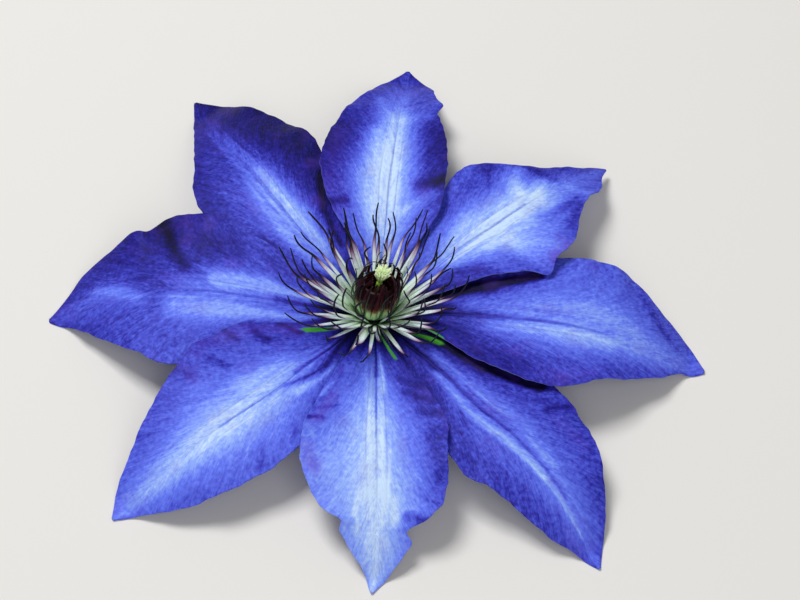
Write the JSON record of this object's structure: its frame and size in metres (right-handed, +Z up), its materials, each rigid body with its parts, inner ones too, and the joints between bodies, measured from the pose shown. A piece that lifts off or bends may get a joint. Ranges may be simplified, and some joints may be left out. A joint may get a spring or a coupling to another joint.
{
  "type": "clematis flower",
  "caption": "Large open clematis flower lying face up: pointed violet-blue tepals with pale bars round spreading stamens, a dark dome of inner stamens and a pale tuft of styles.",
  "frame": {"origin": "middle of the flower's footprint, on the surface it lies on", "axes": "+Z up, out of the flower's face; +X to the right and +Y away when the flower is looked at with tepal_south nearest"},
  "size_m": [0.152, 0.1534, 0.0266],
  "materials": {
    "tepal": "soft satin petal, violet-blue with a pale bar",
    "stamens": "matt, pale green-white filaments and dark anthers",
    "inner_stamens": "matt, dark burgundy over pale green",
    "styles": "matt, pale yellow-green",
    "stalk": "smooth green stalk"
  },
  "bodies": {
    "root": {"stalk": "stalk", "stamens": "stamens", "inner_stamens": "inner_stamens", "styles": "styles", "tepal_east": "tepal", "tepal_north_east": "tepal", "tepal_north": "tepal", "tepal_north_west": "tepal", "tepal_west": "tepal", "tepal_south_west": "tepal", "tepal_south": "tepal", "tepal_south_east": "tepal"}
  },
  "joints": []
}
